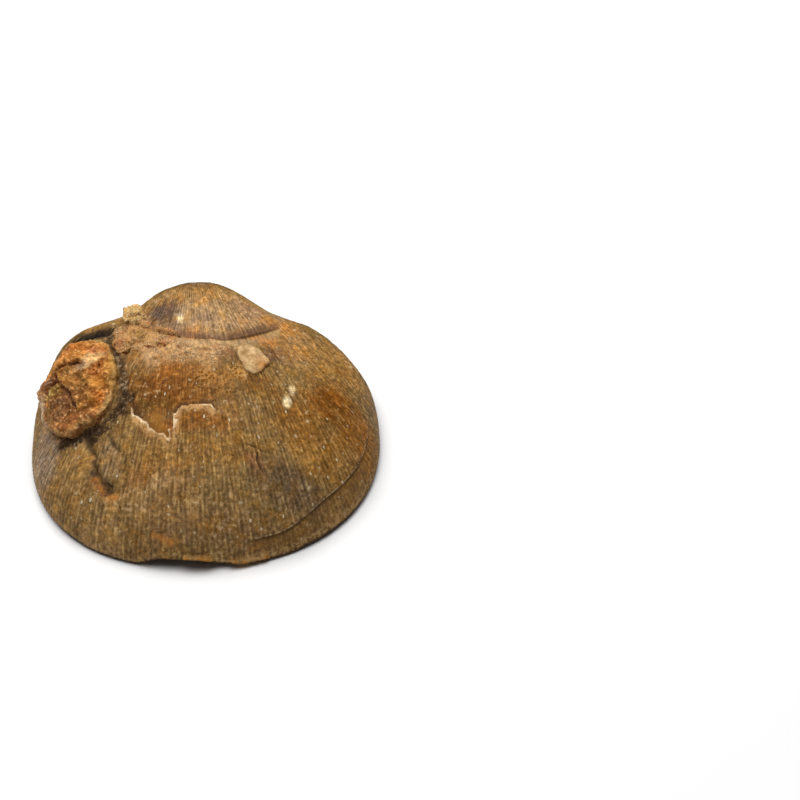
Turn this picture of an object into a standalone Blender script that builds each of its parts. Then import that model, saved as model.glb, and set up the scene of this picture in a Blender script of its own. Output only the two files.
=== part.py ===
"""A brachiopod fossil, lying as it rests: the round valve up, on its margin, over the hollow valve.

It is one natural solid. Two valves of petrified shell are nested in each other with stone between them, and
patches of crust and stone have grown onto the outside. The shell grew outward from its beak, so the mesh does
the same: its columns are ribs that fan out from the beak over the dome, roll round the margin and run back to
the hinge underneath, and its rows are growth lines. Ribs split in two as the shell widens.

Sizes are in millimetres and the finished mesh is in metres. +X is along the hinge, +Y is back towards the
beak and +Z is up. The origin lies on the surface it rests on, under the middle of its box.
"""

import bmesh
import bpy
import numpy as np
from mathutils import Vector, noise

MM = 0.001
BOX_MIDDLE_Y = -0.798  # of the shape as drawn, before it is moved onto the origin

# The outline from above: rounded sides, cut off straight by the hinge line.
HALF_WIDTH = 29.8
WIDEST_Y = 2.0
FRONT_Y = -26.0
BACK_REACH = 23.6  # of the rounded outline behind the widest line, had the hinge not cut it
BACK_BOW = 2.4  # how much less the dome reaches back at its sides
HINGE_Y = 22.6
HINGE_CORNER = 18  # the higher, the sharper the corners at the hinge's ends
SQUARENESS_FRONT_RIGHT = 2.18
SQUARENESS_FRONT_LEFT = 2.3
SQUARENESS_BACK_RIGHT = 2.6
SQUARENESS_BACK_LEFT = 2.9

# The dome of the upper valve.
CREST_Y = 6.5
CREST_HEIGHT = 21.0
MARGIN_Z = 1.0  # the outermost line of the margin
DOME_FULLNESS = 0.6  # 0.5 is an ellipse, 1 a parabola
# Where the dome is fuller or flatter: place in plan, how much, and the half width of the swelling.
SWELLINGS = ((-25.5, 11.0, 4.6, 5.5), (11.0, 18.8, -1.7, 3.8), (19.5, 15.5, 0.9, 4.0))

# The umbo, the swollen young shell behind the lip where growth once stopped.
BEAK = (-1.5, 24.6)
UMBO_X = -1.7
UMBO_HEIGHT = 2.8
UMBO_HALF_WIDTH = 6.0
UMBO_LENGTH = 10.2
LIP_RADIUS = 18.3  # from the beak, in plan
LIP_SLANT = 0.25  # how much further from the beak it runs for each millimetre to the right
LIP_X = 0.8
LIP_STEP = 0.8
LIP_REACH = 9.0

# The outer layer of shell has flaked off in front of the lip, as far as a jagged edge.
LAYER_THICKNESS = 0.6
BARE_X = (-12.4, 6.4)
# The jagged edge: sideways place, and distance in plan from the beak.
BROKEN_EDGE = (
    (-12.6, 30.2), (-11.5, 31.7), (-11.1, 33.1), (-10.0, 33.7), (-8.9, 34.5), (-8.1, 35.6), (-6.7, 36.2),
    (-5.6, 36.6), (-4.9, 37.2), (-4.5, 32.1), (-3.5, 31.6), (-1.8, 31.3), (1.8, 31.6), (2.3, 32.5), (3.1, 33.1),
    (4.3, 33.0), (5.6, 34.4), (6.8, 35.3),
)

# The last growth band drops below the dome along the right front.
BAND_WIDTH = 5.8
BAND_NARROWING = 1.8  # towards the front
BAND_STEP = 0.5
BAND_X = (9.0, 27.0)

# A shallow pit shaped like a thumb print, under the crust on the left.
PIT_AT = (-15.2, -13.0)
PIT_HALF_SIZE = (2.0, 4.0)
PIT_DEPTH = 0.8

# The margin lifts off the surface between its feet, most of all at the front.
ARCH_LEFT = (-11.6, -7.0)  # where the arch starts and where it is full
ARCH_RIGHT = (-3.0, 6.4)  # where it starts to come down and where it ends
ARCH_HEIGHT = 1.5
MARGIN_INSET = 0.9
FOOT_WIDTH = 1.5
FOOT_LIFT = 0.3
FEET = ((-16.0, -23.0), (11.0, -25.4), (-20.0, 21.0), (20.0, 21.0))
FOOT_HALF_LENGTH = 4.5

# The hollow underside, where the other valve is sunk in, its own beak at the hinge.
UNDER_BEAK = (-1.0, 19.4)
HOLLOW_DEPTH = 7.0
HOLLOW_CREST_Y = 2.0
UNDER_PLATE_STEP = 0.5
UNDER_PLATE_REACH = 25.0

# Crusts and stone on the dome: name, place in plan, radii from the right round by the back, thickness,
# roughness, sides and rings of its mesh, and cracks as points in the lump's own plane.
LUMPS = (
    ("orange_crust", (-20.6, 1.8), (7.9, 8.3, 8.5, 8.3, 10.2, 9.4, 8.5, 8.0, 7.8, 8.7, 9.0, 8.0), 2.3, 1.0,
     (30, 14), (((1.8, 3.0), (-2.1, 4.4), (-3.3, 3.5), (-2.1, 0.7), (0.5, -4.0)), ((-3.3, 2.4), (-4.8, 1.0)))),
    ("pale_crust", (8.8, 2.0), (2.75, 2.2, 2.3, 2.65, 3.75, 3.2, 2.5, 2.2, 2.8, 3.0, 2.6, 2.2), 0.9, 0.5,
     (12, 8), ()),
    ("stone_knob", (-11.2, 13.9), (1.9, 1.8, 2.0, 1.8, 1.9, 2.6), 2.5, 1.1, (10, 8), ()),
    ("stone_ridge", (-11.8, 10.2), (3.2, 2.6, 2.8, 2.8, 4.0, 2.8), 0.7, 1.0, (12, 8), ()),
    ("stone_patch", (-7.2, 7.4), (3.4, 1.6, 1.7, 2.8, 1.9, 1.9), 0.4, 0.7, (12, 8), ()),
)
CRACK_DEPTH, CRACK_HALF_WIDTH = 0.8, 0.7
LUMP_SUNK = 1.5
BUMP_RATE = 0.4  # bumps on a lump, per millimetre

RIB_HEIGHT = 0.2
FAN_SPREAD = 1.0  # how much wider than straight lines the ribs leave the beak
FAN_LIMIT = np.radians(92)
# The share of a rib's length over which it keeps its first and its last direction.
LEAVING, ARRIVING = 0.42, 0.3
COLUMNS = 168
PATH_POINTS = 160

# Growth lines on the dome, as shares of each column's length, in bands of 4, 2 and 1 columns to a face. The
# lines on each side of the lip, of the jagged edge and of the last band are drawn onto them.
LIP_SHARE, EDGE_SHARE, BAND_SHARE = 0.38, 0.58, 0.91
DOME_ROWS = (
    (4, (0.04, 0.09)),
    (2, (0.15, 0.22, 0.29, 0.35, LIP_SHARE - 0.006, LIP_SHARE + 0.006)),
    (1, (0.44, 0.50, 0.55, EDGE_SHARE - 0.006, EDGE_SHARE + 0.006, 0.65, 0.71, 0.77, 0.83, 0.875,
         BAND_SHARE - 0.006, BAND_SHARE + 0.006, 0.95, 0.98, 1.0)),
)
# Rows across the hollow, from the foot inwards.
HOLLOW_ROWS = ((1, (0.08,)), (2, (0.22, 0.40, 0.58)), (4, (0.76, 0.92)))


def smooth_step(value, low, high):
    share = np.clip((value - low) / (high - low), 0, 1)
    return share * share * (3 - 2 * share)


def window(value, low, high, soft):
    """1 between low and high, falling to 0 over a soft edge outside them."""
    return smooth_step(value, low - soft, low) * (1 - smooth_step(value, high, high + soft))


def hump(offset, half_width):
    return np.exp(-0.5 * (offset / half_width) ** 2)


# ---- the outline from above ----

def squareness(x, y):
    front = np.where(x > 0, SQUARENESS_FRONT_RIGHT, SQUARENESS_FRONT_LEFT)
    back = np.where(x > 0, SQUARENESS_BACK_RIGHT, SQUARENESS_BACK_LEFT)
    return np.where(y < WIDEST_Y, front, back)


def half_width(x, y):
    """How far out the rounded outline lies at this y, on the side of x."""
    reach = np.where(y < WIDEST_Y, WIDEST_Y - FRONT_Y, BACK_REACH)
    along = np.clip(np.abs(y - WIDEST_Y) / reach, 0, 1)
    power = squareness(x, y)
    return HALF_WIDTH * (1 - along ** power) ** (1 / power)


def margin_points(count):
    """Points along the outline at equal steps, from the middle of the hinge round to the right."""
    angle = np.pi / 2 - np.linspace(0, 2 * np.pi, 4001)
    across, along = np.cos(angle), np.sin(angle)
    reach = np.where(along < 0, WIDEST_Y - FRONT_Y, BACK_REACH)
    power = squareness(across, WIDEST_Y + along)
    rounded = (np.abs(across / HALF_WIDTH) ** power + np.abs(along / reach) ** power) ** (-1 / power)
    hinge = (HINGE_Y - WIDEST_Y) / np.maximum(along, 0.01)
    radius = (rounded ** -HINGE_CORNER + hinge ** -HINGE_CORNER) ** (-1 / HINGE_CORNER)
    x, y = radius * across, WIDEST_Y + radius * along
    length = np.concatenate([[0], np.cumsum(np.hypot(np.diff(x), np.diff(y)))])
    even = np.arange(count) / count * length[-1]
    return np.stack([np.interp(even, length, x), np.interp(even, length, y)], axis=-1)


def outward(points):
    """Unit vectors square to a closed outline that runs clockwise."""
    along = np.roll(points, -1, axis=0) - np.roll(points, 1, axis=0)
    square = np.stack([-along[:, 1], along[:, 0]], axis=-1)
    return square / np.linalg.norm(square, axis=1, keepdims=True)


# ---- the upper valve as a height over the plan ----

def beak_distance(x, y):
    return np.hypot(x - BEAK[0], y - BEAK[1])


def lip_radius(x):
    return LIP_RADIUS + LIP_SLANT * np.clip(x - BEAK[0], -9, 5.5)


def umbo_height(x, y):
    behind_lip = lip_radius(x) - beak_distance(x, y)
    swelling = UMBO_HEIGHT * smooth_step(behind_lip, 0, UMBO_LENGTH) * hump(x - UMBO_X, UMBO_HALF_WIDTH)
    step = LIP_STEP * smooth_step(behind_lip, 0, 0.4) * window(x, LIP_X - LIP_REACH, LIP_X + LIP_REACH, 5)
    return swelling + step * smooth_step(y, 4, 8)


def dome_height(x, y):
    """The height of the upper valve: an arch across times an arch from front to back."""
    across = np.clip(1 - (x / np.maximum(half_width(x, y), 1e-6)) ** 2, 0, 1)
    ahead = np.clip((CREST_Y - y) / (CREST_Y - FRONT_Y), 0, 1)
    reach = WIDEST_Y + BACK_REACH - BACK_BOW * (x / 20) ** 2 - CREST_Y
    behind = np.clip((y - CREST_Y) / reach, 0, 0.995)
    along = np.where(y < CREST_Y, 1 - ahead ** 2, 1 - behind ** 4)
    arch = (across * along) ** DOME_FULLNESS
    swelling = 0
    for middle_x, middle_y, height, size in SWELLINGS:
        swelling += height * hump(np.hypot(x - middle_x, y - middle_y), size)
    return MARGIN_Z + (CREST_HEIGHT + swelling) * arch + umbo_height(x, y)


# ---- the ribs' paths ----

def dome_share(ends):
    """0 on columns that go down the flat area under the beak to the hinge, 1 on those that cross the dome."""
    return smooth_step(np.abs(ends[:, 0]), 9, 20.5) + smooth_step(-ends[:, 1], -18, -14)


def rib_paths(ends):
    """Plan curves from the beak: a rib leaves it in a fan and meets the margin square on."""
    beak = np.array(BEAK)
    reach = ends - beak
    length = np.linalg.norm(reach, axis=1, keepdims=True)
    heading = np.arctan2(reach[:, 0], -reach[:, 1])
    quarter = np.clip(np.abs(heading) / (np.pi / 2), 0, 1)
    heading = np.clip(heading * (1 + FAN_SPREAD * quarter * (1 - quarter)), -FAN_LIMIT, FAN_LIMIT)
    start = np.stack([np.sin(heading), -np.cos(heading)], axis=-1)
    on_dome = np.clip(dome_share(ends), 0, 1)[:, None]
    straight = reach / length
    leave = beak + LEAVING * length * (start * on_dome + straight * (1 - on_dome))
    square = on_dome * (0.25 + 0.75 * smooth_step(ends[:, 1], -16, -3))[:, None]
    arrive = ends - ARRIVING * length * (outward(ends) * square + straight * (1 - square))
    t = np.linspace(0, 1, PATH_POINTS)[None, :, None]
    points = [part[:, None, :] for part in (np.broadcast_to(beak, ends.shape), leave, arrive, ends)]
    weights = ((1 - t) ** 3, 3 * (1 - t) ** 2 * t, 3 * (1 - t) * t ** 2, t ** 3)
    return sum(weight * point for weight, point in zip(weights, points))


def path_heights(paths, ends):
    """The heights along the ribs, and down the flat area between the beak and the hinge."""
    dome = dome_height(paths[..., 0], paths[..., 1])
    beak_z = dome_height(np.array(BEAK[0]), np.array(BEAK[1]))
    t = np.linspace(0, 1, PATH_POINTS)[None, :]
    hinge_area = beak_z + (MARGIN_Z - beak_z) * t ** 0.85
    on_dome = np.clip(dome_share(ends), 0, 1)[:, None]
    return dome * on_dome + hinge_area * (1 - on_dome)


def share_at(values, shares, target):
    """The share of a column at which its rising values reach the target."""
    return np.interp(target, np.maximum.accumulate(values), shares)


def growth_lines(columns, shares):
    """Dome points on each column at the given shares of its length: an array of rows of points."""
    ends = margin_points(columns)
    paths = rib_paths(ends)
    heights = path_heights(paths, ends)
    curves = np.concatenate([paths, heights[..., None]], axis=-1)
    steps = np.linalg.norm(np.diff(curves, axis=1), axis=2)
    rows = np.zeros((len(shares), columns, 3))
    edge_x, edge_radius = np.array(BROKEN_EDGE).T
    for j in range(columns):
        length = np.concatenate([[0], np.cumsum(steps[j])])
        along = length / length[-1]
        radius = beak_distance(paths[j, :, 0], paths[j, :, 1])
        broken = np.interp(paths[j, :, 0], edge_x, edge_radius)
        at_lip = np.minimum(lip_radius(paths[j, :, 0]), 0.62 * radius[-1])
        lip = share_at(radius - at_lip, along, 0)
        edge = share_at(np.maximum(radius - broken, radius - 0.8 * radius[-1]), along, 0)
        width = BAND_WIDTH - BAND_NARROWING * (1 - smooth_step(paths[j, -1, 0], 12, 22))
        band = 1 - min(width / length[-1], 0.14)
        edge = min(max(edge, lip + 0.06), band - 0.06)
        marks = (0, lip - 0.002, lip + 0.002, edge - 0.002, edge + 0.002, band - 0.002, band + 0.002, 1)
        nominal = (0, LIP_SHARE - 0.006, LIP_SHARE + 0.006, EDGE_SHARE - 0.006, EDGE_SHARE + 0.006,
                   BAND_SHARE - 0.006, BAND_SHARE + 0.006, 1)
        placed = np.interp(shares, nominal, marks)
        for axis in range(3):
            rows[:, j, axis] = np.interp(placed, along, curves[j, :, axis])
    return rows


# ---- relief on the shell ----

def flaked(x, y, radius):
    """1 where the outer layer of shell is gone: from the lip to the jagged edge."""
    edge_x, edge_radius = np.array(BROKEN_EDGE).T
    short_of_edge = radius < np.interp(x, edge_x, edge_radius)
    fade = smooth_step(radius - lip_radius(x), 0.5, 7)
    return short_of_edge * fade * window(x, BARE_X[0], BARE_X[1], 1.5)


def dome_relief(points):
    """How far the dome stands out from its even form, apart from the ribs."""
    x, y, z = points[..., 0], points[..., 1], points[..., 2]
    relief = -LAYER_THICKNESS * flaked(x, y, beak_distance(x, y))
    relief -= PIT_DEPTH * hump(x - PIT_AT[0], PIT_HALF_SIZE[0]) * hump(y - PIT_AT[1], PIT_HALF_SIZE[1])
    waves = [noise.noise(Vector((0.09 * a, 0.09 * b, 3.0))) for a, b in zip(x.flat, y.flat)]
    return relief + 0.7 * np.reshape(waves, x.shape)


def drop_last_band(rows, shares):
    """The shell outside the last growth line, along the right front, lies a step lower."""
    x, y = rows[..., 0], rows[..., 1]
    outside = (np.array(shares) > BAND_SHARE)[:, None] * (1 - 0.6 * np.array(shares)[:, None] ** 20)
    return -BAND_STEP * outside * window(x, BAND_X[0], BAND_X[1], 3) * (y < 0)


def surface_normals(rows):
    along = np.gradient(rows, axis=0)
    round_it = np.roll(rows, -1, axis=1) - np.roll(rows, 1, axis=1)
    normals = np.cross(along, round_it)
    normals /= np.maximum(np.linalg.norm(normals, axis=2, keepdims=True), 1e-9)
    return normals * np.where(normals[..., 2:].mean() < 0, -1, 1)


def rib_wave(strides):
    """Crests and grooves on alternate columns, of those that each row keeps."""
    column = np.arange(COLUMNS)
    return np.array([np.where((column // stride) % 2 == 0, 1.0, -1.0) for stride in strides])


# ---- the margin and the hollow underside ----

def foot_share(ends):
    """1 on the columns where the margin reaches the surface it rests on, 0 between its feet."""
    nearest = [np.hypot(ends[:, 0] - x, ends[:, 1] - y) for x, y in FEET]
    return 1 - smooth_step(np.min(nearest, axis=0), FOOT_HALF_LENGTH, FOOT_HALF_LENGTH + 2.5)


def margin_lift(ends):
    arch = smooth_step(ends[:, 0], *ARCH_LEFT) * (1 - smooth_step(ends[:, 0], *ARCH_RIGHT))
    at_front = smooth_step(-ends[:, 1], 15, 20)
    return FOOT_LIFT * (1 - foot_share(ends)) + ARCH_HEIGHT * arch * at_front


def hollow_height(x, y):
    inset = MARGIN_INSET + FOOT_WIDTH
    across = np.clip(1 - (x / np.maximum(half_width(x, y) - inset, 1e-6)) ** 2, 0, 1)
    ahead = np.clip((HOLLOW_CREST_Y - y) / (HOLLOW_CREST_Y - FRONT_Y - inset), 0, 1)
    behind = np.clip((y - HOLLOW_CREST_Y) / (UNDER_BEAK[1] + 1.2 - HOLLOW_CREST_Y), 0, 1)
    along = np.where(y < HOLLOW_CREST_Y, 1 - ahead ** 2, 1 - behind ** 2)
    return HOLLOW_DEPTH * (across * along) ** 0.75


def under_plate_step(x, y):
    """The ribbed plate of the other valve hangs lower than the crystals where it has flaked away."""
    distance = np.hypot(x - UNDER_BEAK[0], y - UNDER_BEAK[1])
    plate = (distance < UNDER_PLATE_REACH) & (x < UNDER_BEAK[0] + 0.24 * (UNDER_BEAK[1] - y))
    return -UNDER_PLATE_STEP * plate


def underside_rows(ends, shares):
    """Round the margin, across its foot and over the hollow to the other valve's beak."""
    inward = -outward(ends)
    lift = margin_lift(ends)
    rows = []
    for inset, height in ((0.3, 0.35), (MARGIN_INSET, 0.0), (MARGIN_INSET + FOOT_WIDTH, 0.0)):
        place = ends + inset * inward
        rows.append(np.column_stack([place, height + lift]))
    start = rows[-1][:, :2]
    for share in shares:
        place = start + share * (np.array(UNDER_BEAK) - start)
        x, y = place[:, 0], place[:, 1]
        height = hollow_height(x, y) + lift * (1 - share) ** 4 + under_plate_step(x, y)
        rows.append(np.column_stack([place, np.maximum(height, 0.4)]))
    return np.array(rows)


# ---- the solid ----

def add_ring(bm, row, stride):
    return [bm.verts.new(point) for point in row[::stride]]


def join_rings(bm, first, second):
    """Faces between two closed rings; where one has twice the columns, its ribs split in two."""
    if len(first) == len(second):
        for j, vert in enumerate(first):
            bm.faces.new((vert, first[j - 1], second[j - 1], second[j]))
        return
    coarse, fine = (first, second) if len(first) < len(second) else (second, first)
    for j in range(len(coarse)):
        middle = fine[2 * j - 1]
        bm.faces.new((coarse[j - 1], fine[2 * j - 2], middle))
        bm.faces.new((coarse[j - 1], middle, coarse[j]))
        bm.faces.new((coarse[j], middle, fine[2 * j]))


def shell_mesh():
    dome_strides = [stride for stride, shares in DOME_ROWS for _ in shares]
    dome_shares = [share for _, shares in DOME_ROWS for share in shares]
    hollow_strides = [stride for stride, shares in HOLLOW_ROWS for _ in shares]
    hollow_shares = [share for _, shares in HOLLOW_ROWS for share in shares]

    ends = margin_points(COLUMNS)
    dome = growth_lines(COLUMNS, dome_shares)
    dome[..., 2] += margin_lift(ends) * np.array(dome_shares)[:, None] ** 8
    out_of_margin = (1 - np.array(dome_shares)[:, None] ** 12)
    relief = dome_relief(dome) * out_of_margin + drop_last_band(dome, dome_shares)
    ribs = RIB_HEIGHT * rib_wave(dome_strides) * np.clip(dome_share(ends), 0, 1)
    dome += surface_normals(dome) * (relief + ribs)[..., None]

    under = underside_rows(ends, hollow_shares)
    under[3:, :, 2] += RIB_HEIGHT * rib_wave(hollow_strides)

    bm = bmesh.new()
    rings = [add_ring(bm, row, stride) for row, stride in zip(dome, dome_strides)]
    rings += [add_ring(bm, row, stride) for row, stride in zip(under, [1, 1, 1] + hollow_strides)]
    for first, second in zip(rings, rings[1:]):
        join_rings(bm, first, second)
    beak = bm.verts.new((*BEAK, dome_height(np.array(BEAK[0]), np.array(BEAK[1]))))
    under_beak = bm.verts.new((*UNDER_BEAK, 1.0))
    for pole, ring in ((beak, rings[0]), (under_beak, rings[-1])):
        for j, vert in enumerate(ring):
            bm.faces.new((pole, ring[j - 1], vert))
    bmesh.ops.recalc_face_normals(bm, faces=bm.faces)
    return bm


def new_object(name, bm):
    bmesh.ops.translate(bm, vec=(0, -BOX_MIDDLE_Y, 0), verts=bm.verts)
    bmesh.ops.scale(bm, vec=(MM, MM, MM), verts=bm.verts)
    mesh = bpy.data.meshes.new(name)
    bm.to_mesh(mesh)
    bm.free()
    obj = bpy.data.objects.new(name, mesh)
    bpy.context.collection.objects.link(obj)
    return obj


# ---- what has grown onto the shell ----

def dome_normal(x, y):
    step = 0.05
    slope_x = (dome_height(x + step, y) - dome_height(x - step, y)) / (2 * step)
    slope_y = (dome_height(x, y + step) - dome_height(x, y - step)) / (2 * step)
    normal = np.array([-slope_x, -slope_y, 1.0])
    return normal / np.linalg.norm(normal)


def crack_depth(place, crack):
    """How deep a crack is here: it follows a few points, in the lump's own plane."""
    depth = 0.0
    for start, end in zip(crack, crack[1:]):
        start, end = np.array(start), np.array(end)
        run = end - start
        share = np.clip(np.dot(place - start, run) / np.dot(run, run), 0, 1)
        depth = max(depth, CRACK_DEPTH * hump(np.linalg.norm(place - start - share * run), CRACK_HALF_WIDTH))
    return depth


def draped_lump(name, at, radii, thickness, rough, mesh_size, cracks):
    """A lump that follows the shell it sits on, with an uneven outline given by its radii all the way round.

    The upper half of a ball becomes its crown and the lower half is sunk in the shell.
    """
    bm = bmesh.new()
    sides, rings = mesh_size
    bmesh.ops.create_uvsphere(bm, u_segments=sides, v_segments=rings, radius=1)
    side_slope = dome_normal(*at)
    turns = np.linspace(0, 2 * np.pi, len(radii) + 1)
    for vert in bm.verts:
        out = min(np.hypot(vert.co.x, vert.co.y), 1.0)
        turn = np.arctan2(vert.co.y, vert.co.x) % (2 * np.pi)
        reach = out ** 0.8 * np.interp(turn, turns, (*radii, radii[0]))
        place = reach * np.array([np.cos(turn), np.sin(turn)])
        x, y = at + place * np.array([side_slope[2], 1.0])
        bumps = noise.noise(Vector((BUMP_RATE * x, BUMP_RATE * y, thickness))) * rough
        crown = abs(vert.co.z) ** 0.45
        deep = sum(crack_depth(place, crack) for crack in cracks)
        rise = (thickness + bumps - deep) * crown if vert.co.z > 0 else -LUMP_SUNK * crown
        vert.co = Vector((x, y, dome_height(x, y))) + Vector(dome_normal(x, y)) * rise
    return new_object(name, bm)


def grow_onto(shell, lump):
    lump.hide_render = True
    lump.display_type = "WIRE"
    union = shell.modifiers.new(lump.name, "BOOLEAN")
    union.operation = "UNION"
    union.object = lump


def fossil_material():
    material = bpy.data.materials.new("petrified_shell")
    material.use_nodes = True
    surface = material.node_tree.nodes["Principled BSDF"]
    surface.inputs["Base Color"].default_value = (0.27, 0.15, 0.062, 1)
    surface.inputs["Roughness"].default_value = 0.55
    surface.inputs["Metallic"].default_value = 0
    return material


def clear_scene():
    for obj in list(bpy.data.objects):
        bpy.data.objects.remove(obj)


clear_scene()
fossil = new_object("brachiopod_fossil", shell_mesh())
fossil.data.materials.append(fossil_material())
for lump in LUMPS:
    grow_onto(fossil, draped_lump(*lump))
fossil.data.shade_smooth()
fossil.data.set_sharp_from_angle(angle=np.radians(40))
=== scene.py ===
import bmesh
import bpy
import numpy as np
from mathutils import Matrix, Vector, noise


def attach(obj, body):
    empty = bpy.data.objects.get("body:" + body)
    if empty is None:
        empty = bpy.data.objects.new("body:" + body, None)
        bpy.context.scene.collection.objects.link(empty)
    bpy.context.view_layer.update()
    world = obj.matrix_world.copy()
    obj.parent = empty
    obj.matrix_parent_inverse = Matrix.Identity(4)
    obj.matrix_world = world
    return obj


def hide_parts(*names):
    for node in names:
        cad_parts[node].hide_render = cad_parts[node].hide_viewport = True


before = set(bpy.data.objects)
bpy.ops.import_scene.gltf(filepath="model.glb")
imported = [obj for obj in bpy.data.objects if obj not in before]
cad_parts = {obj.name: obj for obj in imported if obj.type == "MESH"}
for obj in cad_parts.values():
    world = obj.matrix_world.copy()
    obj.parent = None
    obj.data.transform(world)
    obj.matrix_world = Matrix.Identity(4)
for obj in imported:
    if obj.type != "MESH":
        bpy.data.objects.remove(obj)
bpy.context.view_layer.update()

# ---- The upper valve ----
# The domed valve of a brachiopod, turned to stone. Fine ribs fan out from the beak, and split as the shell
# widens. The outer layer has flaked off in front of a lip, where growth once stopped. Sizes are in
# millimetres, with Y back towards the beak.

MM = 0.001
BOX_MIDDLE_Y = -0.798

HALF_WIDTH = 29.8
WIDEST_Y = 2.0
FRONT_Y = -26.0
BACK_REACH = 23.6
BACK_BOW = 2.4
HINGE_Y = 22.6
HINGE_CORNER = 18
SQUARENESS_FRONT, SQUARENESS_BACK = (2.3, 2.18), (2.9, 2.6)  # left and right

CREST_Y = 6.5
CREST_HEIGHT = 21.0
MARGIN_Z = 1.0
DOME_FULLNESS = 0.6
# Broad swellings and dips: place in plan, height and size.
SWELLINGS = ((-25.5, 11.0, 4.6, 5.5), (11.0, 18.8, -1.7, 3.8), (19.5, 15.5, 0.9, 4.0))

BEAK = (-1.5, 24.6)
UMBO_X = -1.7
UMBO_HEIGHT = 2.8
UMBO_HALF_WIDTH = 6.0
UMBO_LENGTH = 10.2
LIP_RADIUS = 18.3
LIP_SLANT = 0.25
LIP_X = 0.8
LIP_STEP = 0.8
LIP_REACH = 9.0

LAYER_THICKNESS = 0.6
BARE_X = (-12.4, 6.4)
# Its broken edge, by the sideways place and the distance from the beak.
BROKEN_EDGE = (
    (-12.6, 30.2), (-11.5, 31.7), (-11.1, 33.1), (-10, 33.7), (-8.9, 34.5), (-8.1, 35.6), (-6.7, 36.2),
    (-5.6, 36.6), (-5.2, 37.2), (-5.1, 35.4), (-4.6, 34.8), (-4.5, 33.2), (-4.1, 32.4), (-3.5, 31.6),
    (-1.8, 31.3), (1.8, 31.6), (2.3, 32.5), (3.1, 33.1), (4.3, 33), (5.6, 34.4), (6.8, 35.3),
)
# Stretches of the broken edge with a painted highlight and a painted shadow: from, to, soft ends and
# strength.
EDGE_LIGHT_SPANS = ((-11.3, -9.9, 0.3, 1), (-9.6, -5.3, 0.4, 0.5), (-4.4, 2.2, 0.3, 0.9), (2.8, 6, 0.5, 0.15))

BAND_WIDTH = 5.8
BAND_NARROWING = 1.8  # towards the front
BAND_STEP = 0.5
BAND_X = (9.0, 27.0)

PIT_AT = (-15.2, -13.0)
PIT_HALF_SIZE = (2.0, 4.0)
PIT_DEPTH = 0.8

ARCH_LEFT = (-11.6, -7.0)
ARCH_RIGHT = (-3.0, 6.4)
ARCH_Y = (-15, -20)
ARCH_HEIGHT = 1.5
MARGIN_INSET = 0.9
FOOT_WIDTH = 1.5
FOOT_LIFT = 0.3
FEET = ((-16.0, -23.0), (11.0, -25.4), (-20.0, 21.0), (20.0, 21.0))
FOOT_HALF_LENGTH = 4.5
# Stretches of the front margin that turn up, with their soft ends, and where on a column this starts.
FLARES = ((-3.2, 0.8, 0.8), (4.6, 10.0, 1.0))
FLARE_SHARE = 0.982
# Where the painted highlight along the rim's edge is strongest.
RIM_HIGHLIGHT_X = (8, 27)

FAN_SPREAD = 1.0
FAN_LIMIT = np.radians(92)
LEAVING, ARRIVING = 0.42, 0.3
PATH_POINTS = 160

RIBS = 208  # round the whole outline, at the margin
RIB_HEIGHT = 0.09
COLUMNS_PER_RIB = 4
HINGE_GAP = 0.075  # the share of the outline, each way from the middle of the hinge, that has no ribs
HINGE_COLUMNS = 24
FLAT_AREA_X, FLAT_AREA_Y = (9, 20.5), (18, 14)  # the flat area under the beak ends gradually between these

# Rows at the lip and the band, as shares of a column. The rows on both sides are drawn close to them.
LIP_SHARE, BAND_SHARE = 0.38, 0.91
BESIDE, DRAWN_CLOSE = 0.006, 0.002


def smooth_step(value, low, high):
    share = np.clip((value - low) / (high - low), 0, 1)
    return share * share * (3 - 2 * share)


def window(value, low, high, soft):
    """1 between low and high, falling softly to 0 outside them."""
    return smooth_step(value, low - soft, low) * (1 - smooth_step(value, high, high + soft))


def hump(offset, half_width):
    return np.exp(-0.5 * (offset / half_width) ** 2)


def grain(x, y, rate, seed=0):
    """Smooth noise in plan, with this many bumps per millimetre."""
    places = zip(np.ravel(x) * rate, np.ravel(y) * rate)
    return np.reshape([noise.noise(Vector((a, b, seed))) for a, b in places], np.shape(x))


def near_line(x, y, points):
    """Distance in plan from a line through a few points."""
    nearest = np.full(np.shape(x), 1e9)
    for (ax, ay), (bx, by) in zip(points, points[1:]):
        run_x, run_y = bx - ax, by - ay
        share = np.clip(((x - ax) * run_x + (y - ay) * run_y) / (run_x ** 2 + run_y ** 2), 0, 1)
        nearest = np.minimum(nearest, np.hypot(x - ax - share * run_x, y - ay - share * run_y))
    return nearest


def squareness(x, y):
    front, back = (np.where(x > 0, right, left) for left, right in (SQUARENESS_FRONT, SQUARENESS_BACK))
    return np.where(y < WIDEST_Y, front, back)


def half_width(x, y):
    reach = np.where(y < WIDEST_Y, WIDEST_Y - FRONT_Y, BACK_REACH)
    along = np.clip(np.abs(y - WIDEST_Y) / reach, 0, 1)
    power = squareness(x, y)
    return HALF_WIDTH * (1 - along ** power) ** (1 / power)


def margin_points(turns):
    """The outline's points at these shares of its length, clockwise from the middle of the hinge."""
    angle = np.pi / 2 - np.linspace(0, 2 * np.pi, 4001)
    across, along = np.cos(angle), np.sin(angle)
    reach = np.where(along < 0, WIDEST_Y - FRONT_Y, BACK_REACH)
    power = squareness(across, WIDEST_Y + along)
    rounded = (np.abs(across / HALF_WIDTH) ** power + np.abs(along / reach) ** power) ** (-1 / power)
    hinge = (HINGE_Y - WIDEST_Y) / np.maximum(along, 0.01)
    radius = (rounded ** -HINGE_CORNER + hinge ** -HINGE_CORNER) ** (-1 / HINGE_CORNER)
    x, y = radius * across, WIDEST_Y + radius * along
    length = np.concatenate([[0], np.cumsum(np.hypot(np.diff(x), np.diff(y)))])
    return np.stack([np.interp(turns * length[-1], length, part) for part in (x, y)], axis=-1)


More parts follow.
